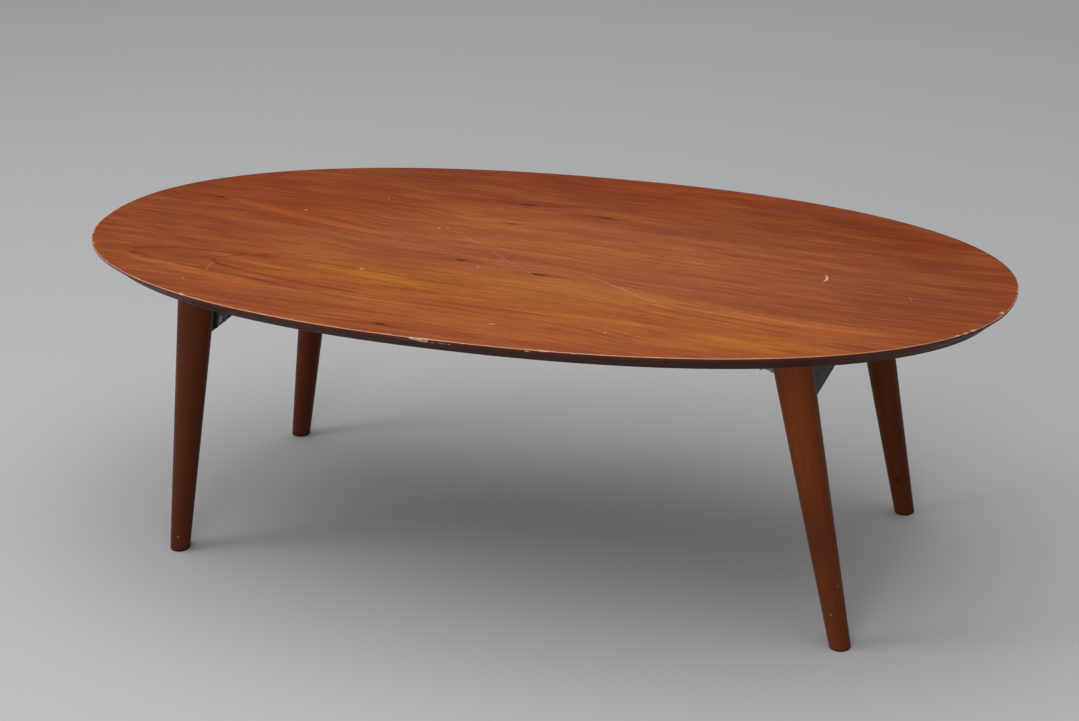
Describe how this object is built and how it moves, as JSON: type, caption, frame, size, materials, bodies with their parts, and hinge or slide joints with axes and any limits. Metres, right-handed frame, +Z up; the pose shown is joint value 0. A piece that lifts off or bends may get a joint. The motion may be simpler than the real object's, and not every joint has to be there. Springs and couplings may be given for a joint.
{
  "type": "folding low table",
  "caption": "Low oval wooden table whose round, tapered, splayed legs fold inward in pairs under the top on locking steel brackets.",
  "frame": {"origin": "on the ground, below the middle of the top", "axes": "+Z up, +X along the top's length, -Y the front"},
  "size_m": [1, 0.495, 0.325],
  "materials": {
    "top_wood": "satin",
    "edge_lacquer": "satin",
    "backing": "matt",
    "leg_wood": "satin",
    "rail_wood": "satin",
    "dowel_wood": "matt",
    "plated_steel": "zinc plated",
    "spring_steel": "zinc plated",
    "rivet": "zinc plated",
    "plated_screw": "zinc plated"
  },
  "bodies": {
    "table_top": {"top_core": "edge_lacquer", "top_veneer": "top_wood", "underside_sheet": "backing", "base_screws": "plated_screw", "spring_rivets": "rivet", "front_right_bracket_base": "plated_steel", "front_right_lock_spring": "spring_steel", "front_right_pivot_rivet": "rivet", "back_right_bracket_base": "plated_steel", "back_right_lock_spring": "spring_steel", "back_right_pivot_rivet": "rivet", "front_left_bracket_base": "plated_steel", "front_left_lock_spring": "spring_steel", "front_left_pivot_rivet": "rivet", "back_left_bracket_base": "plated_steel", "back_left_lock_spring": "spring_steel", "back_left_pivot_rivet": "rivet"},
    "left_legs": {"left_rail": "rail_wood", "front_left_leg": "leg_wood", "back_left_leg": "leg_wood", "front_left_bracket_arm": "plated_steel", "back_left_bracket_arm": "plated_steel", "left_arm_screws": "plated_screw", "left_rail_dowels": "dowel_wood"},
    "right_legs": {"right_rail": "rail_wood", "front_right_leg": "leg_wood", "back_right_leg": "leg_wood", "front_right_bracket_arm": "plated_steel", "back_right_bracket_arm": "plated_steel", "right_arm_screws": "plated_screw", "right_rail_dowels": "dowel_wood"}
  },
  "joints": [
    {"name": "left_legs_fold", "type": "hinge", "parent": "table_top", "child": "left_legs", "pos_m": [-0.29702, 0, 0.28457], "axis": [0, -1, 0], "range_deg": [0, 99.7], "deforming": ["front_left_lock_spring", "back_left_lock_spring"]},
    {"name": "right_legs_fold", "type": "hinge", "parent": "table_top", "child": "right_legs", "pos_m": [0.29702, 0, 0.28457], "axis": [0, 1, 0], "range_deg": [0, 99.7], "deforming": ["front_right_lock_spring", "back_right_lock_spring"]}
  ]
}
